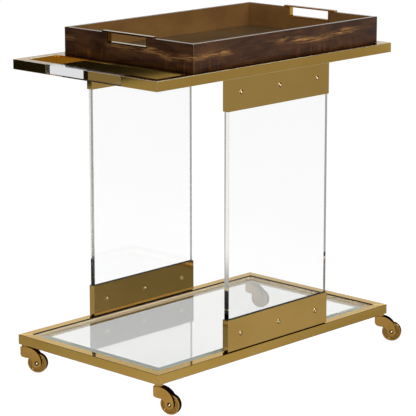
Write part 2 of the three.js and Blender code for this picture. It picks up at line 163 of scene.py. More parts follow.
class Nodes:
    """Builds one material's node tree. Patterns are placed by object coordinates, in metres."""

    def __init__(self, name):
        self.material = bpy.data.materials.new(name)
        self.material.use_nodes = True
        self.tree = self.material.node_tree
        self.shader = self.tree.nodes["Principled BSDF"]
        coordinates = self.tree.nodes.new("ShaderNodeTexCoord")
        self.place = coordinates.outputs["Object"]

    def link(self, a, b):
        self.tree.links.new(a, b)

    def set(self, **values):
        """Sets the shader's own sockets, for values that are the same all over the surface."""
        for key, value in values.items():
            self.shader.inputs[key.replace("_", " ")].default_value = value

    def mapped(self, scale, offset=(0, 0, 0), rotation=(0, 0, 0), vector=None):
        node = self.tree.nodes.new("ShaderNodeMapping")
        node.inputs["Scale"].default_value = scale
        node.inputs["Location"].default_value = offset
        node.inputs["Rotation"].default_value = rotation
        self.link(vector or self.place, node.inputs["Vector"])
        return node.outputs["Vector"]

    def noise(self, scale, detail=3.0, roughness=0.5, distortion=0.0, vector=None):
        node = self.tree.nodes.new("ShaderNodeTexNoise")
        node.inputs["Scale"].default_value = scale
        node.inputs["Detail"].default_value = detail
        node.inputs["Roughness"].default_value = roughness
        node.inputs["Distortion"].default_value = distortion
        self.link(vector or self.place, node.inputs["Vector"])
        return node.outputs["Fac"]

    def ramp(self, value, stops):
        """A colour from a value, through stops of (position, colour)."""
        node = self.tree.nodes.new("ShaderNodeValToRGB")
        elements = node.color_ramp.elements
        while len(elements) < len(stops):
            elements.new(0.5)
        for element, (at, colour) in zip(elements, stops):
            element.position = at
            element.color = (*colour, 1.0)
        self.link(value, node.inputs["Fac"])
        return node.outputs["Color"]

    def remap(self, value, low, high, to_low, to_high):
        return map_range(self.tree, value, low, high, to_low, to_high)

    def math(self, operation, a, b):
        return calculate(self.tree, operation, a, b)

    def mix(self, factor, a, b):
        """A colour between a and b."""
        node = self.tree.nodes.new("ShaderNodeMix")
        node.data_type = "RGBA"
        for socket, value in ((node.inputs[0], factor), (node.inputs[6], a), (node.inputs[7], b)):
            if isinstance(value, tuple):
                socket.default_value = (*value, 1.0)
            else:
                feed(self.tree, socket, value)
        return node.outputs[2]

    def bump(self, height, strength, distance):
        node = self.tree.nodes.new("ShaderNodeBump")
        node.inputs["Strength"].default_value = strength
        node.inputs["Distance"].default_value = distance
        self.link(height, node.inputs["Height"])
        self.link(node.outputs["Normal"], self.shader.inputs["Normal"])

    def colour(self, value):
        self.link(value, self.shader.inputs["Base Color"])

    def rough(self, value):
        self.link(value, self.shader.inputs["Roughness"])


def brass(name, grain, light=(0.80, 0.525, 0.140), deep=(0.74, 0.470, 0.112), rough=(0.03, 0.075)):
    """Polished brass with a faint hairline brushing along one axis and a slight mottle.

    The bluish specular tint dims what it reflects at grazing angles.
    """
    m = Nodes(name)
    m.set(Metallic=1.0, Specular_Tint=(0.52, 0.56, 0.67, 1.0))
    scale = [900.0, 900.0, 900.0]
    scale["xyz".index(grain)] = 9.0
    hairline = m.noise(1.0, detail=4.0, roughness=0.6, vector=m.mapped(scale))
    mottle = m.noise(7.0, detail=4.0, roughness=0.55)
    m.colour(m.mix(m.remap(mottle, 0.3, 0.7, 0.0, 1.0), light, deep))
    m.rough(m.remap(hairline, 0.25, 0.75, *rough))
    m.bump(hairline, 0.005, 0.0002)
    return m.material


def mottled_metal(name, light, deep, rough, rim=1.0):
    """Edges less polished than the faces, in a painted colour: pale for a painted highlight line, dark for
    a painted dark line, where a low rim keeps a dark edge dark at grazing angles. The axles and bolts take
    it as their own paler brass.
    """
    m = Nodes(name)
    m.set(Metallic=1.0, Specular_Tint=(rim, rim, rim, 1.0))
    wear = m.noise(90.0, detail=3.0)
    m.colour(m.mix(m.remap(wear, 0.3, 0.7, 0.0, 1.0), light, deep))
    m.rough(m.remap(wear, 0.3, 0.7, *rough))
    return m.material


def painted_shade_material(name):
    """Painted shade, near black: inside a sleeve's mouth and on its rim, along the top of the lower frame's
    inner faces, in the bolt heads' cup grooves, and on the end faces where the handle bar meets its
    returns.
    """
    m = Nodes(name)
    grain = m.noise(300.0, detail=3.0)
    m.colour(m.ramp(grain, [(0.3, (0.006, 0.005, 0.004)), (0.7, (0.016, 0.014, 0.011))]))
    m.rough(m.remap(grain, 0.3, 0.7, 0.45, 0.6))
    return m.material


def turned_brass(name):
    """Solid caster brass, with fine turning marks and slightly warmer colour."""
    m = Nodes(name)
    m.set(Metallic=1.0)
    grain = m.noise(260.0, detail=5.0, roughness=0.65)
    mottle = m.noise(24.0, detail=3.0)
    m.colour(m.mix(m.remap(mottle, 0.3, 0.7, 0.0, 1.0), (0.80, 0.475, 0.125), (0.66, 0.37, 0.085)))
    m.rough(m.remap(grain, 0.3, 0.7, 0.07, 0.15))
    m.bump(grain, 0.03, 0.0002)
    return m.material


def clear(name, colour, ior, rough_to):
    """Clear acrylic or glass, with a barely visible haze on its surface in places."""
    m = Nodes(name)
    m.set(Transmission_Weight=1.0, IOR=ior)
    haze = m.noise(5.0, detail=2.0)
    m.colour(m.ramp(haze, [(0.35, colour), (0.75, tuple(min(1.0, c * 1.01) for c in colour))]))
    m.rough(m.remap(haze, 0.4, 0.8, 0.0, rough_to))
    return m.material


def painted_pale_end(name):
    """The back panel's far end, painted paler and less clear than the rest of the acrylic: a painted light.
    """
    m = Nodes(name)
    m.set(Transmission_Weight=0.85, IOR=ACRYLIC_IOR)
    marks = m.noise(1.0, detail=3.0, vector=m.mapped((500.0, 500.0, 30.0)))
    m.colour(m.ramp(marks, [(0.30, (0.80, 0.80, 0.79)), (0.70, (0.90, 0.90, 0.90))]))
    m.rough(m.remap(marks, 0.3, 0.7, 0.0, 0.03))
    return m.material


def glass_bevel(name, deep, light):
    """The ground and polished bevel, part clear, with a soft painted colour that stands in for the light
    caught inside the plate.
    """
    m = Nodes(name)
    m.set(Transmission_Weight=0.35, IOR=GLASS_IOR)
    drift = m.noise(6.0, detail=3.0)
    m.colour(m.ramp(drift, [(0.30, deep), (0.70, light)]))
    m.rough(m.remap(drift, 0.3, 0.7, 0.01, 0.03))
    return m.material


def setting_strip_painted_reflection():
    """The pale satin strip that the glass is set against, on the ledges and low on the inner faces. It is
    not metal: its flat pale colour is a painted reflection, standing in for what the brass there reflects.
    """
    m = Nodes("setting_strip_painted_reflection")
    grain = m.noise(22.0, detail=3.0)
    m.colour(m.ramp(grain, [(0.30, (0.58, 0.48, 0.32)), (0.70, (0.62, 0.51, 0.34))]))
    m.rough(m.remap(grain, 0.3, 0.7, 0.42, 0.6))
    return m.material


def lacquer():
    """Dark red-brown veneer under gloss lacquer, with a golden flame streak along each wall's middle."""
    m = Nodes("tray_lacquer")
    drift = m.noise(1.0, detail=2.0, vector=m.mapped((5.0, 5.0, 3.0)))
    z = split_xyz(m.tree, m.place)["Z"]
    height = m.math("ADD", z, m.remap(drift, 0.3, 0.7, -0.010, 0.010))
    below = m.remap(height, 0.826, 0.838, 0.0, 1.0)
    above = m.remap(height, 0.840, 0.849, 1.0, 0.0)
    band = m.math("MULTIPLY", below, above)
    flame = m.noise(1.0, detail=7.0, roughness=0.6, distortion=1.2, vector=m.mapped((18.0, 18.0, 260.0)))
    patch = m.noise(1.0, detail=2.0, vector=m.mapped((6.5, 6.5, 14.0), offset=(0.31, 0.2, 0.0)))
    streak = m.math("MULTIPLY", band, m.remap(flame, 0.44, 0.66, 0.0, 1.0))
    streak = m.math("MULTIPLY", streak, m.remap(patch, 0.42, 0.62, 0.05, 1.0))
    ground = m.noise(1.0, detail=6.0, roughness=0.55, distortion=0.4, vector=m.mapped((14.0, 14.0, 60.0)))
    dark = m.ramp(
        ground,
        [(0.30, (0.014, 0.0050, 0.0022)), (0.52, (0.040, 0.0145, 0.0052)), (0.75, (0.075, 0.030, 0.010))],
    )
    # Low on the walls, a faint upright ripple of lighter brown.
    ripple = m.noise(1.0, detail=4.0, roughness=0.6, vector=m.mapped((130.0, 130.0, 14.0)))
    low = m.math("MULTIPLY", m.remap(z, 0.808, 0.835, 1.0, 0.0), m.remap(ripple, 0.50, 0.70, 0.0, 0.8))
    low = m.math("MULTIPLY", low, m.remap(patch, 0.45, 0.60, 0.2, 1.0))
    dark = m.mix(low, dark, (0.13, 0.045, 0.012))
    m.colour(m.mix(streak, dark, (0.42, 0.20, 0.060)))
    m.set(Coat_Weight=0.30, Coat_Roughness=0.03, Coat_IOR=1.5, Specular_IOR_Level=0.15)
    m.rough(m.remap(ground, 0.3, 0.7, 0.26, 0.38))
    return m.material


def lining(name, light, deep):
    """Satin bronze-brown lining with a soft cloudy figure and a fine brushed grain."""
    m = Nodes(name)
    cloud = m.noise(1.0, detail=4.0, roughness=0.55, vector=m.mapped((7.0, 7.0, 16.0)))
    grain = m.noise(1.0, detail=5.0, roughness=0.7, vector=m.mapped((40.0, 900.0, 900.0)))
    base = m.mix(m.remap(cloud, 0.32, 0.68, 0.0, 1.0), light, deep)
    m.colour(m.mix(m.remap(grain, 0.3, 0.7, 0.0, 0.18), base, tuple(c * 0.55 for c in deep)))
    m.set(Metallic=0.35, Coat_Weight=0.3, Coat_Roughness=0.12, Specular_IOR_Level=0.3)
    m.rough(m.remap(grain, 0.3, 0.7, 0.26, 0.42))
    m.bump(grain, 0.04, 0.0002)
    return m.material


ACRYLIC_IOR = 1.49
GLASS_IOR = 1.52
# For the painted dark edge lines.
PAINTED_DARK_RIM = 0.12  # keeps a dark edge dark at grazing angles

BRASS = {axis: brass(f"brass_{axis}", axis) for axis in "xy"}
SLEEVE_BRASS = brass("brass_sleeve", "x", light=(0.80, 0.53, 0.165), deep=(0.74, 0.48, 0.14))
# Painted highlight: a pale edge colour draws a light line along the upper frame's and the handle returns'
# rounded edges.
UPPER_EDGE_HIGHLIGHT = mottled_metal("brass_upper_edge_painted_highlight", (0.98, 0.90, 0.68), (0.90, 0.78, 0.52), (0.34, 0.46))
# Painted highlight: a light line along the tray walls' rounded edges.
TRAY_EDGE_HIGHLIGHT = mottled_metal("tray_edge_painted_highlight", (0.42, 0.33, 0.23), (0.27, 0.19, 0.12), (0.34, 0.46))
# Painted shade: near-black lines in the sleeves' mouths, at the handle's joins, in the bolts' grooves and
# along the lower frame's inner top.
PAINTED_SHADE_BLACK = painted_shade_material("painted_shade_black_lines")
CASTER_BRASS = turned_brass("caster_brass")
AXLE_BRASS = mottled_metal("axle_brass", (0.96, 0.84, 0.60), (0.88, 0.72, 0.44), (0.10, 0.17))
BOLT_BRASS = mottled_metal("bolt_brass", (0.90, 0.70, 0.36), (0.78, 0.56, 0.24), (0.08, 0.15))
# Painted dark reflection: a dark edge colour draws a dark line along the lower frame's rounded edges.
LOWER_EDGE_PAINTED_DARK = mottled_metal(
    "brass_lower_edge_painted_dark", (0.12, 0.070, 0.022), (0.07, 0.040, 0.013), (0.18, 0.30), rim=PAINTED_DARK_RIM
)
# Painted shade and painted dark reflection on the casters: edges, horn tops, wheel grooves and shoulders,
# washers.
CASTER_PAINTED_DARK = mottled_metal(
    "caster_painted_dark", (0.17, 0.095, 0.026), (0.07, 0.038, 0.012), (0.14, 0.26), rim=PAINTED_DARK_RIM
)
# The handle bar's acrylic is greyer and darker than the panels'.
GREY_HANDLE_ACRYLIC = clear("handle_acrylic", (0.80, 0.80, 0.815), ACRYLIC_IOR, 0.008)
ACRYLIC = clear("acrylic", (0.985, 0.99, 0.99), ACRYLIC_IOR, 0.008)
GLASS = clear("shelf_glass", (0.765, 0.775, 0.765), GLASS_IOR, 0.004)
# Painted light on the glass bevels: green on the near sides, warm on the far ones.
NEAR_BEVEL_PAINTED_GREEN = glass_bevel("near_bevel_painted_green_glass", (0.62, 0.68, 0.61), (0.70, 0.76, 0.68))
FAR_BEVEL_PAINTED_WARM = glass_bevel("far_bevel_painted_warm_glass", (0.70, 0.60, 0.44), (0.78, 0.67, 0.50))
# Painted reflection: the pale, non-metal strip where the glass is set.
SETTING_PAINTED_REFLECTION = setting_strip_painted_reflection()
# Painted light on the back panel's far end only.
PAINTED_PALE_END = painted_pale_end("acrylic_end_painted_light")
LACQUER = lacquer()
LINING = lining("tray_lining", (0.30, 0.155, 0.048), (0.20, 0.098, 0.030))
FLOOR_LINING = lining("tray_floor_lining", (0.064, 0.040, 0.016), (0.042, 0.026, 0.010))

# ---- Mesh helpers. Shapes are made in the cart's own millimetres, and moved to the row frame at the end.


def mesh_object(name, verts, faces):
    """A new object, with coinciding points joined and every face turned outwards."""
    mesh = bpy.data.meshes.new(name)
    mesh.from_pydata([tuple(v) for v in verts], [], faces)
    work = bmesh.new()
    work.from_mesh(mesh)
    bmesh.ops.remove_doubles(work, verts=work.verts, dist=1e-5)
    bmesh.ops.recalc_face_normals(work, faces=work.faces)
    work.to_mesh(mesh)
    work.free()
    obj = bpy.data.objects.new(name, mesh)
    bpy.context.scene.collection.objects.link(obj)
    return obj


def applied(obj):
    """Replaces the object's mesh with what its modifiers make of it."""
    bpy.context.view_layer.update()
    evaluated = obj.evaluated_get(bpy.context.evaluated_depsgraph_get())
    mesh = bpy.data.meshes.new_from_object(evaluated)
    obj.modifiers.clear()
    obj.data = mesh
    return obj


def cut(obj, tool, operation):
    """Cuts a piece with a tool shape, joins it on or keeps what both share. The tool is used up."""
    modifier = obj.modifiers.new("cut", "BOOLEAN")
    modifier.operation = operation
    modifier.solver = "EXACT"
    modifier.object = tool
    applied(obj)
    bpy.data.objects.remove(tool)
    return obj


def rounded(obj, width, segments=3, angle=32.0, finish=()):
    """Softens the edges. Given several materials, the last one goes on the softened edges."""
    modifier = obj.modifiers.new("edges", "BEVEL")
    for material in finish:
        obj.data.materials.append(material)
    if finish:
        modifier.material = len(finish) - 1
    modifier.width = width
    modifier.segments = segments
    modifier.limit_method = "ANGLE"
    modifier.angle_limit = math.radians(angle)
    modifier.harden_normals = True
    for polygon in obj.data.polygons:
        polygon.use_smooth = True
    return applied(obj)


def plain_mitres(obj, axis, edge_index):
    """Keeps the painted edge lines, a painted highlight on the upper frame and a painted dark reflection on
    the lower, off the mitred ends, so that only edges along the piece have them.
    """
    for polygon in obj.data.polygons:
        if polygon.material_index == edge_index and abs(polygon.normal["xyz".index(axis)]) > 0.12:
            polygon.material_index = 0
    return obj


def settle(obj, materials, body, nodes=(), turn=None):
    """Moves a piece to the row frame, gives it its finish, and fixes it to its body."""
    if turn is not None:
        obj.data.transform(turn)
    obj.data.transform(TO_ROW)
    if not obj.data.materials:
        for material in materials if isinstance(materials, list) else [materials]:
            obj.data.materials.append(material)
    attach(obj, body)
    if nodes:
        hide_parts(*nodes)
    return obj


def between(n, start=0):
    """The faces that join a ring of n points to the next ring."""
    return [(start + i, start + (i + 1) % n, start + n + (i + 1) % n, start + n + i) for i in range(n)]


def solid_between(name, first, second):
    """A solid between two matching rings of points, closed by a face at either end."""
    n = len(first)
    ends = [tuple(range(n)), tuple(range(2 * n - 1, n - 1, -1))]
    return mesh_object(name, first + second, ends + between(n))


def prism(name, outline, axis, low, high):
    """An outline raised along x, y or z. Its points give the other two axes, in order."""

    def at(a, b, c):
        return {"x": (c, a, b), "y": (a, c, b), "z": (a, b, c)}[axis]

    return solid_between(name, [at(a, b, low) for a, b in outline], [at(a, b, high) for a, b in outline])


def box(name, x0, x1, y0, y1, z0, z1):
    return prism(name, [(x0, y0), (x1, y0), (x1, y1), (x0, y1)], "z", z0, z1)


def mitred(name, half, across, section, turn_degrees):
    """One mitred side of a rectangular frame. The section's points are (inset from the outer face, z)."""
    left = [(-half + inset + MITRE_GAP, -across + inset, z) for inset, z in section]
    right = [(half - inset - MITRE_GAP, -across + inset, z) for inset, z in section]
    obj = solid_between(name, left, right)
    obj.data.transform(Matrix.Rotation(math.radians(turn_degrees), 4, "Z"))
    return obj


def lathe(name, profile, steps, closed=False):
    """A profile of (radius, height) points turned about Z. A closed one is a ring, open at its middle."""
    verts, faces, rings = [], [], []
    for radius, height in profile:
        if radius < 1e-6:
            rings.append([len(verts)])
            verts.append((0.0, 0.0, height))
        else:
            rings.append(list(range(len(verts), len(verts) + steps)))
            for i in range(steps):
                a = 2 * math.pi * i / steps
                verts.append((radius * math.cos(a), radius * math.sin(a), height))
    pairs = list(zip(rings, rings[1:]))
    if closed:
        pairs.append((rings[-1], rings[0]))
    for a, b in pairs:
        for i in range(steps):
            j = (i + 1) % steps
            if len(a) == 1 and len(b) == 1:
                break
            if len(a) == 1:
                faces.append((a[0], b[i], b[j]))
            elif len(b) == 1:
                faces.append((a[i], b[0], a[j]))
            else:
                faces.append((a[i], b[i], b[j], a[j]))
    return mesh_object(name, verts, faces)


def bezier(p0, p1, p2, p3, steps):
    """Points along a cubic curve, without its first one."""
    points = []
    for i in range(1, steps + 1):
        t = i / steps
        s = 1 - t
        w = (s**3, 3 * s * s * t, 3 * s * t * t, t**3)
        points.append(tuple(sum(k * p[d] for k, p in zip(w, (p0, p1, p2, p3))) for d in (0, 1)))
    return points


def arc(cx, cy, radius, from_deg, to_deg, steps):
    """Points along a circle, without its first one."""
    points = []
    for i in range(1, steps + 1):
        a = math.radians(from_deg + (to_deg - from_deg) * i / steps)
        points.append((cx + radius * math.cos(a), cy + radius * math.sin(a)))
    return points


# ---- Frames

TUBE_EDGE = 0.7  # widths of the rounded edges
LOWER_TUBE_EDGE = 0.8
SIDES = {"front": 0, "right": 90, "back": 180, "left": -90}


def tube_section(z0):
    """A square tube's outline, as (inset from the frame's outer face, z)."""
    return [(0, z0), (TUBE, z0), (TUBE, z0 + TUBE), (0, z0 + TUBE)]


def ledge_section(z0, top, strip=()):
    """The tube with a ledge on its inner face, whose top is at the height given."""
    return [
        (0, z0),
        (TUBE, z0),
        (TUBE, top - LEDGE_THICKNESS),
        (TUBE + LEDGE, top - LEDGE_THICKNESS),
        (TUBE + LEDGE, top),
        (TUBE, top),
        *strip,
        (TUBE, z0 + TUBE),
        (0, z0 + TUBE),
    ]


def lower_frame():
    strip_top = LOWER_Z + TUBE - PAINTED_SHADE_LIP
    section = ledge_section(LOWER_Z, GLASS_BOTTOM - FIT_GAP, [(TUBE, strip_top)])
    for side, turn in SIDES.items():
        name = f"lower_rail_{side}"
        along = side in ("front", "back")
        half, across = (HALF_X, HALF_Y) if along else (HALF_Y, HALF_X)
        grain = BRASS["x" if along else "y"]
        rail = mitred(f"look_{name}", half, across, section, turn)
        # Above the ledge, the inner face takes the pale setting colour, a painted reflection, with a line
        # of painted shade, near black, along its top.
        for polygon in rail.data.polygons:
            c, n = polygon.center, polygon.normal
            inner = abs(n.z) < 0.1 and c.z > GLASS_BOTTOM and c.xy.dot(n.xy) < 0
            ledge_top = n.z > 0.9 and c.z < GLASS_BOTTOM
            polygon.material_index = 1 if inner and c.z > strip_top else 2 if inner or ledge_top else 0
        # The rounded edges take the dark painted reflection line.
        rail = rounded(rail, LOWER_TUBE_EDGE, finish=(grain, PAINTED_SHADE_BLACK, SETTING_PAINTED_REFLECTION, LOWER_EDGE_PAINTED_DARK))
        plain_mitres(rail, "x" if along else "y", 3)
        settle(rail, grain, "cart", [name])


def upper_frame():
    plain = tube_section(UPPER_Z)
    ledge_top = TRAY_Z0 - FIT_GAP
    for side in ("front", "back"):
        name = f"upper_rail_{side}"
        rail = mitred(f"look_{name}", HALF_X, HALF_Y, plain, SIDES[side])
        # The rounded edges take the pale painted highlight line.
        rail = plain_mitres(rounded(rail, TUBE_EDGE, finish=(BRASS["x"], UPPER_EDGE_HIGHLIGHT)), "x", 1)
        settle(rail, BRASS["x"], "cart", [name])
        sign = -1 if side == "front" else 1
        near, far = sorted((sign * (HALF_Y - TUBE), sign * (HALF_Y - TUBE - LEDGE)))
        x0, x1 = CROSS_X + TUBE + FIT_GAP, HALF_X - TUBE - LEDGE
        strip = box(f"upper_ledge_{side}", x0, x1, near, far, ledge_top - LEDGE_THICKNESS, ledge_top)
        settle(rounded(strip, 0.3, 2), BRASS["x"], "cart")
    ledged = ledge_section(UPPER_Z, ledge_top)
    right = mitred("look_upper_rail_right", HALF_Y, HALF_X, ledged, SIDES["right"])
    # The rounded edges take the pale painted highlight line.
    right = plain_mitres(rounded(right, TUBE_EDGE, finish=(BRASS["y"], UPPER_EDGE_HIGHLIGHT)), "y", 1)
    settle(right, BRASS["y"], "cart", ["upper_rail_right"])

    reach = HALF_Y - TUBE - HANDLE_GAP
    section = [(CROSS_X + inset, z) for inset, z in ledged]
    bar = rounded(prism("look_cross_bar", section, "y", -reach, reach), TUBE_EDGE)
    settle(bar, BRASS["y"], "cart", ["cross_bar"])


def push_handle():
    """The frame's two mitred returns at the handle end, and the clear bar between them."""
    section = tube_section(UPPER_Z)
    for side in ("front", "back"):
        name = f"handle_end_{side}"
        whole = mitred(f"look_{name}", HALF_Y, HALF_X, section, SIDES["left"])
        y0, y1 = (-HANDLE_REACH, HALF_X) if side == "front" else (-HALF_X, HANDLE_REACH)
        piece = cut(whole, box("beyond", -HALF_X - TUBE, 0, y0, y1, 700, 900), "DIFFERENCE")
        # Where the returns meet the clear bar, their end faces are painted shade, near black, and their
        # rounded edges take the painted highlight line.
        for polygon in piece.data.polygons:
            c, n = polygon.center, polygon.normal
            polygon.material_index = 1 if abs(n.y) > 0.9 and abs(abs(c.y) - HANDLE_REACH) < 1.0 else 0
        piece = plain_mitres(rounded(piece, TUBE_EDGE, finish=(BRASS["y"], PAINTED_SHADE_BLACK, UPPER_EDGE_HIGHLIGHT)), "y", 2)
        settle(piece, BRASS["y"], "cart", [name])
    reach = HANDLE_REACH - HANDLE_GAP
    bar = box("look_handle_bar", -HALF_X, -HALF_X + TUBE, -reach, reach, UPPER_Z, UPPER_Z + TUBE)
    # The clear bar's end faces, at its joins with the returns, are painted shade, near black.
    for polygon in bar.data.polygons:
        polygon.material_index = 1 if abs(polygon.normal.y) > 0.9 else 0
    bar = settle(rounded(bar, 0.6), [GREY_HANDLE_ACRYLIC, PAINTED_SHADE_BLACK], "cart", ["handle_bar"])
    bar.visible_shadow = False


# ---- Glass shelf and side panels


def glass_shelf():
    """The plate and its wide bevel, painted greener on the two near sides than on the two far ones."""
    x, y = HALF_X - TUBE - GLASS_GAP, HALF_Y - TUBE - GLASS_GAP

    def ring(inset, z):
        a, b = x - inset, y - inset
        return [(-a, -b, z), (a, -b, z), (a, b, z), (-a, b, z)]

    verts = ring(0, GLASS_BOTTOM) + ring(0, GLASS_TOP - BEVEL_DROP) + ring(BEVEL_WIDTH, GLASS_TOP)
    faces = [(0, 1, 2, 3), (8, 9, 10, 11)] + between(4) + between(4, 4)
    plate = mesh_object("look_glass_shelf", verts, faces)
    # Painted light: the sloped facets on the near sides take the green bevel colour, the far ones the warm
    # one.
    for polygon in plate.data.polygons:
        n = polygon.normal
        sloped = 0.9 < n.z < 0.999
        polygon.material_index = 0 if not sloped else 1 if n.x + n.y < 0 else 2
    plate = rounded(plate, 0.3, 2, 5)
    settle(plate, [GLASS, NEAR_BEVEL_PAINTED_GREEN, FAR_BEVEL_PAINTED_WARM], "cart", ["glass_shelf"])
    plate.visible_shadow = False


def sleeve(name, y, z0, z1, open_up):
    """A folded brass shoe: a thin box, open on one side, that the acrylic stands in."""
    outer_x, outer_y = SLEEVE_HALF_LENGTH, SLEEVE_HALF_DEPTH

    def inset_box(part, end, side, low, high):
        return box(part, -outer_x + end, outer_x - end, y - outer_y + side, y + outer_y - side, low, high)

    beyond = 5  # the pocket's tool runs out past the mouth
    pocket = (z0 + SLEEVE_FLOOR, z1 + beyond) if open_up else (z0 - beyond, z1 - SLEEVE_FLOOR)
    inner = inset_box("pocket", SLEEVE_END_WALL, SLEEVE_WALL, *pocket)
    shoe = cut(inset_box(name, 0, 0, z0, z1), inner, "DIFFERENCE")
    if open_up:
        foot_z = z0 - SLEEVE_FOOT + SLEEVE_GAP
        foot = inset_box("foot", SLEEVE_FOOT_INSET, SLEEVE_FOOT_INSET, foot_z, z0 + 1)
        shoe = cut(shoe, foot, "UNION")
    # The mouth's inner faces and rim are painted shade, near black, and the rest is brass.
    for polygon in shoe.data.polygons:
        c, n = polygon.center, polygon.normal
        inside = abs(c.x) < outer_x - 3.0 and abs(c.y - y) < outer_y - 1.0 and abs(n.z) < 0.5
        polygon.material_index = 1 if inside or n.z > 0.9 and c.z > z1 - 0.1 else 0
    return rounded(shoe, 0.4, 2)


def bolt(name, x, y, z):
    """A dome-headed barrel bolt with a hexagon socket in each head."""
    steps = 24
    per_side = steps // 6
    face = SLEEVE_HALF_DEPTH + 0.05

    def circle(radius):
        angles = [2 * math.pi * i / steps for i in range(steps)]
        return [(radius * math.cos(a), radius * math.sin(a)) for a in angles]

    def hexagon(radius):
        """As many points as the circle has, along the straight sides."""
        points = []
        for side in range(6):
            a0, a1 = math.radians(60 * side), math.radians(60 * (side + 1))
            for t in (k / per_side for k in range(per_side)):
                across = (1 - t) * math.cos(a0) + t * math.cos(a1)
                upward = (1 - t) * math.sin(a0) + t * math.sin(a1)
                points.append((radius * across, radius * upward))
        return points

    # From the socket's floor outwards over the dome, then along the shank to the other head.
    half = [
        (hexagon(1.35), face + 1.0),
        (hexagon(1.5), face + 2.55),
        (circle(1.95), face + 2.80),
        (circle(2.9), face + 2.55),
        (circle(3.8), face + 1.95),
        (circle(4.4), face + 1.2),
        (circle(4.65), face + 0.3),
        (circle(5.0), face + 0.3),
        (circle(5.6), face + 1.3),
        (circle(5.9), face + 1.3),
        (circle(6.5), face + 0.6),
        (circle(6.6), face),
        (circle(2.4), face),
    ]
    rings = [(ring, h) for ring, h in half] + [(ring, -h) for ring, h in reversed(half)]
    verts, faces = [], []
    for ring, h in rings:
        verts += [(a, h, b) for a, b in ring]
    last = (len(rings) - 1) * steps
    for start in range(0, last, steps):
        faces += between(steps, start)
    faces += [tuple(range(steps)), tuple(range(last + steps - 1, last - 1, -1))]
    obj = mesh_object(name, verts, faces)
    # The groove of the cup ring round each head is painted shade, near black.
    for polygon in obj.data.polygons:
        radius = math.hypot(polygon.center.x, polygon.center.z)
        polygon.material_index = 1 if 4.0 < radius < 5.3 and abs(polygon.center.y) > face + 0.1 else 0
    obj.data.materials.append(BOLT_BRASS)
    obj.data.materials.append(PAINTED_SHADE_BLACK)
    obj.data.transform(Matrix.Translation((x, y, z)))
    return rounded(obj, 0.12, 2, 40)


def side_panels():
    """Each clear panel with its two sleeves and their bolts."""
    for side, sign in (("front", -1), ("back", 1)):
        y = sign * PANEL_Y
        half_x, half_y = PANEL_HALF_LENGTH, PANEL_HALF_THICKNESS
        panel = box(f"look_panel_{side}", -half_x, half_x, y - half_y, y + half_y, PANEL_Z0, PANEL_Z1)
        # Only the back panel's far end takes the painted pale end.
        for polygon in panel.data.polygons:
            polygon.material_index = 1 if side == "back" and polygon.normal.x > 0.9 else 0
        panel = settle(rounded(panel, 0.5), [ACRYLIC, PAINTED_PALE_END], "cart", [f"panel_{side}"])
        panel.visible_shadow = False
        for level, z0, z1, bolt_z in (
            ("lower", LOWER_Z + TUBE + SLEEVE_FOOT, LOWER_SLEEVE_TOP, LOWER_BOLT_Z),
            ("upper", UPPER_SLEEVE_BOTTOM, UPPER_Z - SLEEVE_GAP, UPPER_BOLT_Z),
        ):
            name = f"sleeve_{level}_{side}"
            shoe = sleeve(f"look_{name}", y, z0, z1, level == "lower")
            settle(shoe, [SLEEVE_BRASS, PAINTED_SHADE_BLACK], "cart", [name])
            for i, x in enumerate(BOLT_X):
                node = f"bolt_{level}_{side}_{i + 1}"
                settle(bolt(f"look_{node}", x, y, bolt_z), BOLT_BRASS, "cart", [node])


# ---- Tray


def tray_wall(name, half, across, centre_x, turn, notch):
    """A mitred wall, lacquered outside and on the rim and lined inside, with a painted highlight line on
    its rounded edges. A notch makes room for the grip.
    """
    z0, z1 = TRAY_Z0, TRAY_Z1
    n = WINDOW_HALF + LINER + FIT_GAP
    low = WINDOW_Z - LINER - FIT_GAP
    outer = [(-half, z0), (half, z0), (half, z1)]
    inset = half - TRAY_WALL
    inner = [(-inset, z0), (inset, z0), (inset, z1)]
    cut_out = [(n, z1), (n, low), (-n, low), (-n, z1)] if notch else []
    outer += cut_out + [(-half, z1)]
    inner += cut_out + [(-inset, z1)]
    outside = [(a, -across, z) for a, z in outer]
    wall = solid_between(name, outside, [(a, -across + TRAY_WALL, z) for a, z in inner])
    for polygon in wall.data.polygons:
        polygon.material_index = 1 if polygon.normal.y > 0.9 else 0
    wall = rounded(wall, 0.5, 3, finish=(LACQUER, LINING, TRAY_EDGE_HIGHLIGHT))
    turn_matrix = Matrix.Translation((centre_x, 0, 0)) @ Matrix.Rotation(math.radians(turn), 4, "Z")
    settle(wall, [LACQUER, LINING], "tray", [name.replace("look_", "")], turn_matrix)


def tray_grip(side, middle):
    """The brass grip: a flat bar on the rim, and a liner round the hand window under it."""
    top = TRAY_Z1 + FIT_GAP
    half = GRIP_HALF_LENGTH
    outline = [
        (-half, top),
        (-WINDOW_HALF - LINER, top),
        (-WINDOW_HALF - LINER, WINDOW_Z - LINER),
        (WINDOW_HALF + LINER, WINDOW_Z - LINER),
        (WINDOW_HALF + LINER, top),
        (half, top),
        (half, top + GRIP_THICKNESS),
        (-half, top + GRIP_THICKNESS),
    ]
    low, high = middle - GRIP_HALF_WIDTH, middle + GRIP_HALF_WIDTH
    grip = prism(f"look_tray_grip_{side}", outline, "x", low, high)
    window = box("window", low - 3, high + 3, -WINDOW_HALF, WINDOW_HALF, WINDOW_Z, top)
    grip = rounded(cut(grip, window, "DIFFERENCE"), 0.6, 3)
    settle(grip, BRASS["y"], "tray", [f"tray_grip_{side}"])


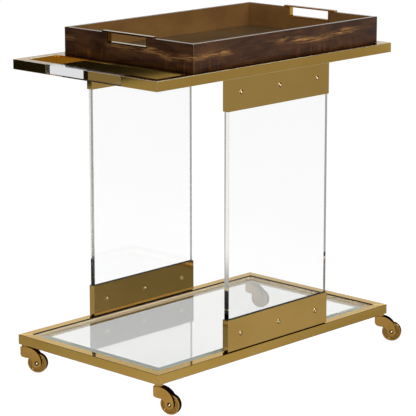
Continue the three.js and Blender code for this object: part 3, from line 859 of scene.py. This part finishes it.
def tray():
    centre_x = (TRAY_X0 + TRAY_X1) / 2
    half_x = (TRAY_X1 - TRAY_X0) / 2
    for side, turn in SIDES.items():
        long_side = side in ("front", "back")
        half, across = (half_x, TRAY_Y) if long_side else (TRAY_Y, half_x)
        tray_wall(f"look_tray_wall_{side}", half, across, centre_x, turn, not long_side)
    inset = TRAY_WALL + 0.05
    x0, x1, y = TRAY_X0 + inset, TRAY_X1 - inset, TRAY_Y - inset
    base = box("look_tray_base", x0, x1, -y, y, TRAY_Z0, TRAY_FLOOR_TOP)
    settle(rounded(base, 0.3, 2), FLOOR_LINING, "tray", ["tray_base"])
    tray_grip("left", TRAY_X0 + TRAY_WALL / 2)
    tray_grip("right", TRAY_X1 - TRAY_WALL / 2)


# ---- Casters


def horn_outline():
    """The fork's side view, from its top near the swivel's axis down to the axle and back."""
    nose, back, top = 11.5, -FORK_HALF_WIDTH, -5.5
    points = [(4.0, top)]
    points += bezier((4.0, top), (24.0, top), (TRAIL + nose, -22.0), (TRAIL + nose, AXLE_Z), 22)
    points += arc(TRAIL, AXLE_Z, nose, 0, -180, 22)
    points += bezier((TRAIL - nose, AXLE_Z), (TRAIL - nose, -39.0), (14.0, -34.0), (6.0, -33.5), 14)
    points += bezier((6.0, -33.5), (-6.0, -33.0), (back, -29.0), (back, -20.0), 14)
    points += [(back, top - 5.0)]
    points += bezier((back, top - 5.0), (back, top - 1.7), (back + 1.7, top), (back + 5.0, top), 6)
    return points


def fork(name):
    """A curved horn, rounded at the back in plan, with a slot for the wheel and a bore for the pin."""
    horn = prism(name, horn_outline(), "y", -CHEEK_HALF_WIDTH, CHEEK_HALF_WIDTH)
    reach, half = TRAIL + SLOT_RADIUS - 0.2, FORK_HALF_WIDTH
    plan = [(reach, -half), (reach, half), (0.0, half)] + arc(0, 0, half, 90, 270, 28)
    horn = cut(horn, prism("plan", plan, "z", -LOWER_Z, 0.0), "INTERSECT")
    circle = arc(TRAIL, AXLE_Z, SLOT_RADIUS, 0, 360, 72)
    horn = cut(horn, prism("slot", circle, "y", -SLOT_HALF_WIDTH, SLOT_HALF_WIDTH), "DIFFERENCE")
    bore = arc(0, 0, BORE_RADIUS, 0, 360, 36)
    horn = cut(horn, prism("bore", bore, "z", -PIN_DEPTH - 0.5, 0.0), "DIFFERENCE")
    # Painted dark reflection: the top and the nose of the horn, and its rounded edges, are darker than its
    # polished cheeks.
    for polygon in horn.data.polygons:
        c, n = polygon.center, polygon.normal
        upper_part = c.x > 2.0 and c.z > AXLE_Z
        faces_out = abs(n.y) < 0.5 and n.z > -0.2 and (n.x > 0 or n.z > 0.9)
        polygon.material_index = 1 if upper_part and faces_out else 0
    return rounded(horn, 0.8, 3, 35, finish=(CASTER_BRASS, CASTER_PAINTED_DARK))


def wheel(name):
    """A solid brass wheel with a raised hub, turned rings on its web and a rounded tread."""
    side = [(3.1, 6.5), (8.6, 6.5), (9.0, 5.2), (10.0, 5.2), (10.3, 5.7)]
    for radius in (13.2, 16.6):
        side += [(radius - 0.7, 5.7), (radius - 0.5, 4.9), (radius + 0.5, 4.9), (radius + 0.7, 5.7)]
    side += [(19.6, 5.7), (19.9, 5.0), (20.9, 5.0), (21.2, 6.5), (24.4, 6.5), (WHEEL_R, 5.4)]
    profile = side + [(r, -h) for r, h in reversed(side)]
    disc = lathe(name, profile, 72, closed=True)
    # Painted shade in the web's grooves and a painted dark reflection on the tread's shoulders.
    for polygon in disc.data.polygons:
        radius = polygon.center.xy.length
        groove = abs(polygon.center.z) < 5.6 and 8.0 < radius < 22.0
        shoulder = radius > 24.5
        polygon.material_index = 1 if groove or shoulder else 0
    disc.data.materials.append(CASTER_BRASS)
    disc.data.materials.append(CASTER_PAINTED_DARK)
    return rounded(disc, 0.12, 2, 25)


def axle(name):
    """A round pin with a domed end and a washer on either side, darkened with painted shade."""
    half = [(0.0, 13.7), (1.4, 13.5), (2.4, 13.0), (3.1, 12.2), (3.3, 11.6)]
    half += [(5.6, 11.4), (5.8, 11.05), (3.0, 11.05)]
    profile = half + [(r, -h) for r, h in reversed(half)]
    pin = lathe(name, profile, 36)
    # The washers are painted shade, dark round the hub.
    for polygon in pin.data.polygons:
        polygon.material_index = 1 if polygon.center.xy.length > 3.3 and abs(polygon.center.z) > 11.0 else 0
    pin.data.materials.append(AXLE_BRASS)
    pin.data.materials.append(CASTER_PAINTED_DARK)
    return rounded(pin, 0.1, 2, 60)


def stem(name):
    """The fixed stem: the bearing collar that shows under the frame, on its pin."""
    profile = [(0.0, -PIN_DEPTH), (PIN_RADIUS, -PIN_DEPTH), (PIN_RADIUS, -5.3)]
    profile += [(9.4, -5.3), (10.0, -4.9), (10.0, -0.9), (9.4, -0.4)]
    profile += [(PIN_RADIUS, -0.4), (PIN_RADIUS, 7.0), (0.0, 7.0)]
    return rounded(lathe(name, profile, 48), 0.2, 2, 40)


def casters():
    upright = Matrix.Rotation(math.radians(90), 4, "X")
    for place, (sx, sy, degrees) in CASTERS.items():
        base = Matrix.Translation((sx * (HALF_X - TUBE / 2), sy * (HALF_Y - TUBE / 2), LOWER_Z))
        turn = base @ Matrix.Rotation(math.radians(degrees), 4, "Z")
        at_axle = turn @ Matrix.Translation((TRAIL, 0, AXLE_Z)) @ upright
        for make, body, where in (
            (stem, "cart", base),
            (fork, f"caster_{place}", turn),
            (axle, f"caster_{place}", at_axle),
            (wheel, f"roller_{place}", at_axle),
        ):
            node = f"{make.__name__}_{place}"
            settle(make(f"look_{node}"), CASTER_BRASS, body, [node], where)


lower_frame()
upper_frame()
push_handle()
glass_shelf()
side_panels()
tray()
casters()

# ---- Studio


def smooth(tree, value, low, high, to_low, to_high):
    return map_range(tree, value, low, high, to_low, to_high, "SMOOTHSTEP")


def floor_material():
    """Pale and evenly white. In polished metal the floor is dimmer, as in a studio lit mainly behind
    and beneath the piece: lighter near the cart's near corner, and dark far to the left."""
    material = bpy.data.materials.new("floor")
    material.use_nodes = True
    tree = material.node_tree
    tree.nodes.clear()
    output = tree.nodes.new("ShaderNodeOutputMaterial")
    glow = tree.nodes.new("ShaderNodeEmission")
    place = tree.nodes.new("ShaderNodeTexCoord").outputs["Object"]
    split = split_xyz(tree, place)
    x, y = split["X"], split["Y"]
    offset = tree.nodes.new("ShaderNodeVectorMath")
    offset.operation = "DISTANCE"
    tree.links.new(place, offset.inputs[0])
    offset.inputs[1].default_value = (-0.5, -0.5, 0.0)
    distance = offset.outputs["Value"]

    near = smooth(tree, distance, 0.35, 1.1, 0.14, 0.0)
    behind = smooth(tree, calculate(tree, "ADD", x, y), 0.9, 1.6, 0.0, 0.6)
    left = smooth(tree, y, 3.31, 3.37, 1.0, 0.03)
    in_front = smooth(tree, y, -0.48, -0.40, 0.085, 0.0)
    to_the_right = smooth(tree, x, 0.1, 0.45, 0.0, 1.0)
    ahead = calculate(tree, "MULTIPLY", in_front, to_the_right)
    ahead = calculate(tree, "MULTIPLY", ahead, smooth(tree, distance, 1.4, 2.2, 1.0, 0.0))
    dim = calculate(tree, "ADD", calculate(tree, "ADD", near, behind), calculate(tree, "ADD", ahead, 0.36))
    dim = calculate(tree, "MULTIPLY", dim, left)

    glossy_depth = tree.nodes.new("ShaderNodeLightPath").outputs["Glossy Depth"]
    in_metal = calculate(tree, "GREATER_THAN", glossy_depth, 0.5)
    strength = tree.nodes.new("ShaderNodeMix")
    for socket, value in ((0, in_metal), (2, 1.0), (3, dim)):
        feed(tree, strength.inputs[socket], value)
    tint = tree.nodes.new("ShaderNodeMix")
    tint.data_type = "RGBA"
    tree.links.new(in_metal, tint.inputs[0])
    tint.inputs[6].default_value = (1, 1, 1, 1)
    tint.inputs[7].default_value = (1.0, 0.97, 0.92, 1)
    tree.links.new(strength.outputs[0], glow.inputs["Strength"])
    tree.links.new(tint.outputs[2], glow.inputs["Color"])

    # To the eye the floor also takes a little of the lamps' light. In metal it is only the glow.
    diffuse = tree.nodes.new("ShaderNodeBsdfDiffuse")
    diffuse.inputs["Color"].default_value = (0.06, 0.06, 0.06, 1)
    add = tree.nodes.new("ShaderNodeAddShader")
    tree.links.new(glow.outputs[0], add.inputs[0])
    tree.links.new(diffuse.outputs[0], add.inputs[1])
    blend = tree.nodes.new("ShaderNodeMixShader")
    tree.links.new(in_metal, blend.inputs[0])
    tree.links.new(add.outputs[0], blend.inputs[1])
    tree.links.new(glow.outputs[0], blend.inputs[2])
    tree.links.new(blend.outputs[0], output.inputs["Surface"])
    return material


def floor():
    mesh = bpy.data.meshes.new("floor")
    reach = 30
    corners = [(-reach, -reach, 0.0), (reach, -reach, 0.0), (reach, reach, 0.0), (-reach, reach, 0.0)]
    mesh.from_pydata(corners, [], [(0, 1, 2, 3)])
    mesh.materials.append(floor_material())
    obj = bpy.data.objects.new("floor", mesh)
    bpy.context.scene.collection.objects.link(obj)


def surroundings():
    """A low pale band beyond the cart and on the opposite side, and nearly dark elsewhere."""
    world = bpy.data.worlds.new("studio")
    bpy.context.scene.world = world
    world.use_nodes = True
    tree = world.node_tree
    background = tree.nodes["Background"]
    split = split_xyz(tree, tree.nodes.new("ShaderNodeTexCoord").outputs["Generated"])
    diagonal = calculate(tree, "ABSOLUTE", calculate(tree, "ADD", split["X"], split["Y"]), 0.0)
    across = smooth(tree, diagonal, 0.7, 1.25, 0.0, 1.12)
    band = smooth(tree, split["Z"], 0.28, 0.36, 1.0, 0.0)
    strength = calculate(tree, "ADD", calculate(tree, "MULTIPLY", across, band), 0.03)
    background.inputs["Color"].default_value = (1.0, 1.0, 0.98, 1)
    tree.links.new(strength, background.inputs["Strength"])


def softbox(name, place, size, power):
    """A rectangular lamp aimed at the middle of the cart."""
    data = bpy.data.lights.new(name, "AREA")
    data.shape = "RECTANGLE"
    data.size, data.size_y = size
    data.energy = power
    lamp = bpy.data.objects.new(name, data)
    bpy.context.scene.collection.objects.link(lamp)
    lamp.location = place
    aim = Vector((0, 0, 0.5)) - Vector(place)
    lamp.rotation_euler = aim.to_track_quat("-Z", "Y").to_euler()


def studio():
    floor()
    surroundings()
    softbox("top_softbox", (0.3, 0.2, 3.2), (2.6, 2.2), 90)
    softbox("key_softbox", (-2.2, -2.9, 2.6), (1.6, 1.2), 70)
    softbox("side_softbox", (1.0, -3.0, 2.4), (1.2, 1.2), 40)


def camera():
    """The camera looks 46.5 degrees round from straight across the cart, and 11.5 degrees down."""
    yaw, pitch, roll = math.radians(46.4715), math.radians(11.4954), math.radians(-0.0488)
    forward = Vector((math.sin(yaw) * math.cos(pitch), math.cos(yaw) * math.cos(pitch), -math.sin(pitch)))
    level = Vector((math.cos(yaw), -math.sin(yaw), 0))
    up0 = level.cross(forward)
    right = math.cos(roll) * level + math.sin(roll) * up0
    up = -math.sin(roll) * level + math.cos(roll) * up0
    data = bpy.data.cameras.new("camera")
    data.sensor_width = 36.0
    data.lens = 177.07
    data.shift_y = -0.1188
    data.clip_end = 200
    cam = bpy.data.objects.new("camera", data)
    bpy.context.scene.collection.objects.link(cam)
    matrix = Matrix((right, up, -forward)).transposed().to_4x4()
    matrix.translation = TO_ROW @ Vector((-3710.30, -3527.32, 1562.63))
    cam.matrix_world = matrix
    bpy.context.scene.camera = cam


studio()
camera()
bpy.context.scene.view_settings.view_transform = "Standard"
# Light runs a long way inside the clear panels and the glass before it comes out again.
bpy.context.scene.cycles.max_bounces = 48
bpy.context.scene.cycles.transmission_bounces = 48
bpy.context.scene.cycles.glossy_bounces = 24
